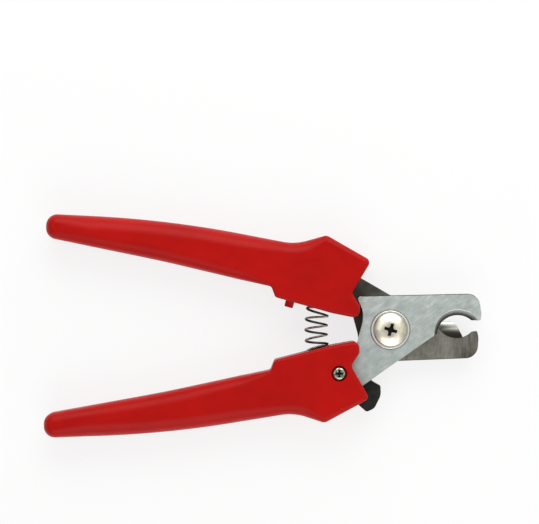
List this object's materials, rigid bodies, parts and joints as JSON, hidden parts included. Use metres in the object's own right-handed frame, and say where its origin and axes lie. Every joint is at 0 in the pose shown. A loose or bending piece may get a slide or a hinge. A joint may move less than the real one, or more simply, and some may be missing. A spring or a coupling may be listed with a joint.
{
  "type": "tail docking pliers",
  "caption": "Hand pliers with shearing blades that each have a round recess, sprung red handles, a lock lever and a guard plate.",
  "frame": {"origin": "on the pivot's axis, in the plane that the tool lies on", "axes": "+X towards the jaws along the lower blade's back, +Z along the pivot's axis towards the front washer and the screw's head"},
  "size_m": [0.1662, 0.0847, 0.015],
  "materials": {
    "handle_plastic": "moulded, satin gloss",
    "front_steel": "fine brushed",
    "rear_steel": "dark, fine brushed",
    "nickel": "nickel plated",
    "guard_steel": "polished sheet",
    "spring_steel": "drawn wire",
    "black_steel": "black oxide, satin"
  },
  "bodies": {
    "lower_half": {"lower_handle": "handle_plastic", "front_blade": "front_steel", "pivot_screw": "nickel", "front_washer": "nickel", "rear_washer": "nickel", "pivot_nut": "nickel", "return_spring": "spring_steel", "lock_screw": "nickel"},
    "upper_half": {"upper_handle": "handle_plastic", "rear_blade": "rear_steel"},
    "lock": {"lock_lever": "black_steel"},
    "guard": {"guard_plate": "guard_steel"}
  },
  "joints": [
    {"name": "main_pivot", "type": "hinge", "parent": "lower_half", "child": "upper_half", "pos_m": [0, 0, 0.0075], "axis": [0, 0, 1], "range_deg": [0, 26.3], "stiffness_Nm_per_rad": 0.6, "springref_deg": -14.32, "deforming": ["return_spring"]},
    {"name": "lock_pivot", "type": "hinge", "parent": "lower_half", "child": "lock", "pos_m": [-0.0195, -0.0165, 0.006], "axis": [0, 0, 1], "range_deg": [0, 13.5]},
    {"name": "guard_pivot", "type": "hinge", "parent": "lower_half", "child": "guard", "pos_m": [0, 0, 0.004], "axis": [0, 0, 1], "range_deg": [-60, 0]}
  ]
}
